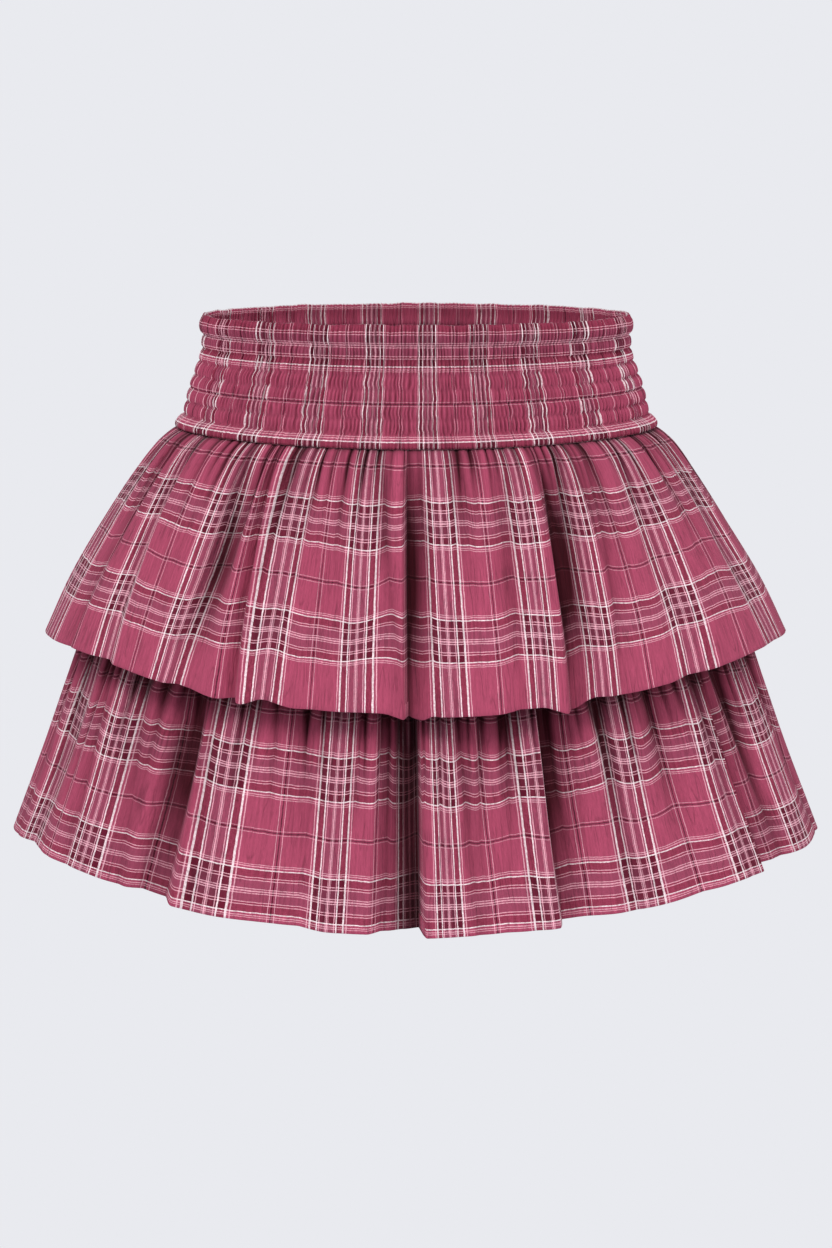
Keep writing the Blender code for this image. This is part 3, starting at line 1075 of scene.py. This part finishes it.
def woven_check():
    group, start, end = new_group(
        "woven check",
        [("Place", "NodeSocketVector"), ("Border", "NodeSocketFloat", -1.0)],
        [
            ("Color", "NodeSocketColor"),
            ("Height", "NodeSocketFloat"),
            ("Crinkle", "NodeSocketFloat"),
        ],
    )
    place = start.outputs["Place"]
    wobble = noise_at(group, place, (200.0, 200.0, 1.0))
    wobble = math_node(group, "MULTIPLY", math_node(group, "SUBTRACT", wobble, 0.5), 0.0007)
    split = group.nodes.new("ShaderNodeSeparateXYZ")
    group.links.new(place, split.inputs[0])
    half_repeat = CHECK_REPEAT / 2.0 * MM
    colours = []
    for axis, chart in ((0, WARP_CHART), (1, WEFT_CHART)):
        moved = math_node(group, "ADD", split.outputs[axis], wobble)
        folded = math_node(group, "PINGPONG", moved, half_repeat)
        colours.append(chart_ramp(group, math_node(group, "DIVIDE", folded, half_repeat), chart))
    in_border = math_node(group, "LESS_THAN", split.outputs[1], start.outputs["Border"])
    colours[1] = colour_mix(group, in_border, colours[1], THREADS["rose"])
    warp_slub = noise_at(group, place, (2600.0, 320.0, 1.0))
    weft_slub = noise_at(group, place, (320.0, 2600.0, 1.0))
    over = math_node(group, "SUBTRACT", warp_slub, weft_slub)
    over = math_node(group, "MULTIPLY_ADD", over, 0.9, 0.46, clamp=True)
    crinkle = crinkled(group, place)
    colour = where_threads_meet(group, place, *colours, over)
    # painted shade and light: the colour darkens where the crinkle sinks and lightens where it rises
    crinkle_shading = math_node(group, "MULTIPLY_ADD", crinkle, 0.75, 0.63)
    colour = colour_mix(group, 1.0, colour, crinkle_shading, "MULTIPLY")
    slub = math_node(group, "MULTIPLY_ADD", warp_slub, 0.5, 0.75)
    colour = colour_mix(group, 1.0, colour, slub, "MULTIPLY")
    height = math_node(group, "ADD", warp_slub, weft_slub)
    group.links.new(colour, end.inputs["Color"])
    group.links.new(height, end.inputs["Height"])
    group.links.new(crinkle, end.inputs["Crinkle"])
    return group


WOVEN_CHECK = woven_check()
print("node group:", WOVEN_CHECK.name, "with", len(WOVEN_CHECK.nodes), "nodes")

# %% [markdown]
# ## Cotton
#
# The shirred band, the ruffles and the yoke are one cloth, but each wears differently: the band's
# many creases are shallow, the ruffles' troughs are deep, and the yoke is the plainest. So one
# function makes their materials, each with its own crinkle and its own share of painted shade. The
# crease attribute, kept from the shaping, paints shade into the cloth at the bottom of its gathers
# and folds, where the light doesn't reach.


# %% Make the cotton materials
# painted shade: the colour a thread is darkened to deep in a fold
IN_SHADE = (0.075, 0.017, 0.028)  # what is left of a thread's colour deep in a fold


def cotton(name, crinkle_depth, crease_shade, border=-1.0):
    material = bpy.data.materials.new(name)
    material.use_nodes = True
    tree = material.node_tree
    shader = tree.nodes["Principled BSDF"]
    cut = tree.nodes.new("ShaderNodeUVMap")
    cut.uv_map = "cut"
    check = tree.nodes.new("ShaderNodeGroup")
    check.node_tree = WOVEN_CHECK
    check.inputs["Border"].default_value = border
    tree.links.new(cut.outputs["UV"], check.inputs["Place"])
    # the crease attribute paints shade: the check darkens towards IN_SHADE
    crease = tree.nodes.new("ShaderNodeAttribute")
    crease.attribute_name = "crease"
    painted_shade = math_node(tree, "MULTIPLY", crease.outputs["Fac"], crease_shade, clamp=True)
    deep_fold_shade = colour_mix(tree, 1.0, check.outputs["Color"], IN_SHADE, "MULTIPLY")
    colour = colour_mix(tree, painted_shade, check.outputs["Color"], deep_fold_shade)
    tree.links.new(colour, shader.inputs["Base Color"])
    crinkles = tree.nodes.new("ShaderNodeBump")
    crinkles.inputs["Strength"].default_value = 1.0
    crinkles.inputs["Distance"].default_value = crinkle_depth * MM
    tree.links.new(check.outputs["Crinkle"], crinkles.inputs["Height"])
    threads = tree.nodes.new("ShaderNodeBump")
    threads.inputs["Strength"].default_value = 0.6
    threads.inputs["Distance"].default_value = 0.12 * MM
    tree.links.new(check.outputs["Height"], threads.inputs["Height"])
    tree.links.new(crinkles.outputs["Normal"], threads.inputs["Normal"])
    tree.links.new(threads.outputs["Normal"], shader.inputs["Normal"])
    shader.inputs["Roughness"].default_value = 0.88
    shader.inputs["Sheen Weight"].default_value = 0.08
    shader.inputs["Sheen Roughness"].default_value = 0.5
    shader.inputs["Sheen Tint"].default_value = (0.95, 0.60, 0.70, 1.0)
    shader.inputs["Specular IOR Level"].default_value = 0.12
    return material


band_cotton = cotton("shirred_check_cotton", 0.8, 0.50)
upper_cotton = cotton("upper_ruffle_check_cotton", 0.8, 0.97, border=-30.0 * MM)
lower_cotton = cotton("lower_ruffle_check_cotton", 0.8, 0.95)
yoke_cotton = cotton("yoke_check_cotton", 0.6, 0.5)
print("materials:", [m.name for m in (band_cotton, upper_cotton, lower_cotton, yoke_cotton)])

# %% [markdown]
# ## Dress the model
#
# Each cloth piece now takes the place of its packed wall, takes its material and rides on the
# skirt's one body.


# %% Hand each piece over
def hand_over(cloth, flat, node, slot, material, rests_on):
    cloth.data.materials.clear()
    cloth.data.materials.append(material)
    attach(cloth, "root")
    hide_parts(node)


for half in HALVES:
    band, yoke = f"waistband_{half}", f"yoke_{half}"
    upper, lower = f"upper_tier_{half}", f"lower_tier_{half}"
    on_band, on_yoke = [band + "_cotton"], [yoke + "_cotton"]
    hand_over(*waistbands[half], band, "waistband_cloth", band_cotton, [])
    hand_over(*yokes[half], yoke, "yoke_cloth", yoke_cotton, on_band)
    hand_over(*ruffles["upper_tier", half], upper, "tier_cloth", upper_cotton, on_band)
    hand_over(*ruffles["lower_tier", half], lower, "tier_cloth", lower_cotton, on_yoke)

# %% [markdown]
# ## The studio
#
# A pale floor lies well below the skirt, and the lens sees it and the room behind it as one even
# tone. The light is soft: a dim room all round, a panel high in front for the folds, and a wider,
# weaker one on each side. Soft light is what lets the folds of matt cotton read without hard edges.

# %% Backdrop, light and view
PALE = (0.815, 0.823, 0.863, 1.0)
ROOM_LIGHT = 0.45
FLOOR_HEIGHT = -1.0


def add_panel_light(name, place, aim, size, power):
    bpy.ops.object.light_add(type="AREA", location=place)
    light = bpy.context.object
    light.name = name
    light.data.shape = "SQUARE"
    light.data.size = size
    light.data.energy = power
    direction = Vector(aim) - Vector(place)
    light.rotation_euler = direction.to_track_quat("-Z", "Y").to_euler()
    return light


world = bpy.data.worlds.new("bright room")
world.use_nodes = True
tree = world.node_tree
room = tree.nodes["Background"]
room.inputs["Color"].default_value = PALE
rays = tree.nodes.new("ShaderNodeLightPath")
seen = math_node(tree, "MULTIPLY", rays.outputs["Is Camera Ray"], 1.0 - ROOM_LIGHT)
tree.links.new(math_node(tree, "ADD", seen, ROOM_LIGHT), room.inputs["Strength"])
bpy.context.scene.world = world
bpy.context.scene.view_settings.view_transform = "Standard"
add_panel_light("key_panel", (-0.6, -2.3, 1.8), (0.0, 0.0, -0.1), 0.9, 45.5)
add_panel_light("right_panel", (2.1, -1.3, 0.5), (0.0, 0.0, -0.15), 1.5, 21.0)
add_panel_light("left_panel", (-2.1, -1.2, 0.4), (0.0, 0.0, -0.15), 1.5, 11.5)

bpy.ops.object.select_all(action="DESELECT")
bpy.ops.mesh.primitive_plane_add(size=12.0, location=(0.0, 0.0, FLOOR_HEIGHT))
floor = bpy.context.object
floor.name = "studio_floor"
bpy.ops.object.transform_apply(location=True, rotation=True, scale=True)
paint = bpy.data.materials.new("pale_floor")
paint.use_nodes = True
tree = paint.node_tree
tree.nodes["Principled BSDF"].inputs["Base Color"].default_value = PALE
glow = tree.nodes.new("ShaderNodeEmission")
glow.inputs["Color"].default_value = PALE
rays = tree.nodes.new("ShaderNodeLightPath")
blend = tree.nodes.new("ShaderNodeMixShader")
tree.links.new(rays.outputs["Is Camera Ray"], blend.inputs["Fac"])
tree.links.new(tree.nodes["Principled BSDF"].outputs[0], blend.inputs[1])
tree.links.new(glow.outputs[0], blend.inputs[2])
tree.links.new(blend.outputs[0], tree.nodes["Material Output"].inputs["Surface"])
floor.data.materials.append(paint)
